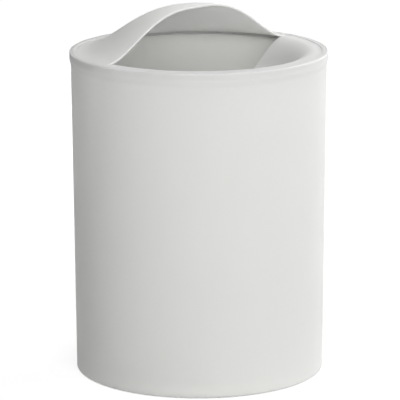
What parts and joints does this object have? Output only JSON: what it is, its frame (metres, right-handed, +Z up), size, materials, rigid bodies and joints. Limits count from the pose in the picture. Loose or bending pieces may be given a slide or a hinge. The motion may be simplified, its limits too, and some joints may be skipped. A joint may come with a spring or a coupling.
{
  "type": "countertop trash can with swing lid",
  "caption": "Round countertop trash can: a drop-in ring carries a thin pivoting lid whose raised rear half and dipped front half leave an eye-shaped opening.",
  "frame": {"origin": "middle of the footprint, on the surface that the bin stands on", "axes": "+Z up, -Y towards the viewer of the picture, +X to the right; the lid's pivot line runs 41.5 degrees from +X towards +Y"},
  "size_m": [0.1822, 0.1822, 0.2613],
  "materials": {
    "bin_plastic": "satin",
    "lid_plastic": "satin",
    "pad_rubber": "matte",
    "pin_steel": "satin",
    "weight_steel": "dull"
  },
  "bodies": {
    "bin": {"bin_body": "bin_plastic", "foot_pad_front": "pad_rubber", "foot_pad_left": "pad_rubber", "foot_pad_back": "pad_rubber", "foot_pad_right": "pad_rubber"},
    "ring": {"lid_ring": "lid_plastic"},
    "lid": {"swing_lid": "lid_plastic", "pivot_pin_left": "pin_steel", "pivot_pin_right": "pin_steel", "return_weight": "weight_steel"}
  },
  "joints": [
    {"name": "lid_lift", "type": "slide", "parent": "bin", "child": "ring", "axis": [0, 0, 1], "range_m": [0, 0.06]},
    {"name": "lid_swing", "type": "hinge", "parent": "ring", "child": "lid", "pos_m": [0, 0, 0.2281], "axis": [0.749, 0.6626, 0], "range_deg": [0, 75]}
  ]
}
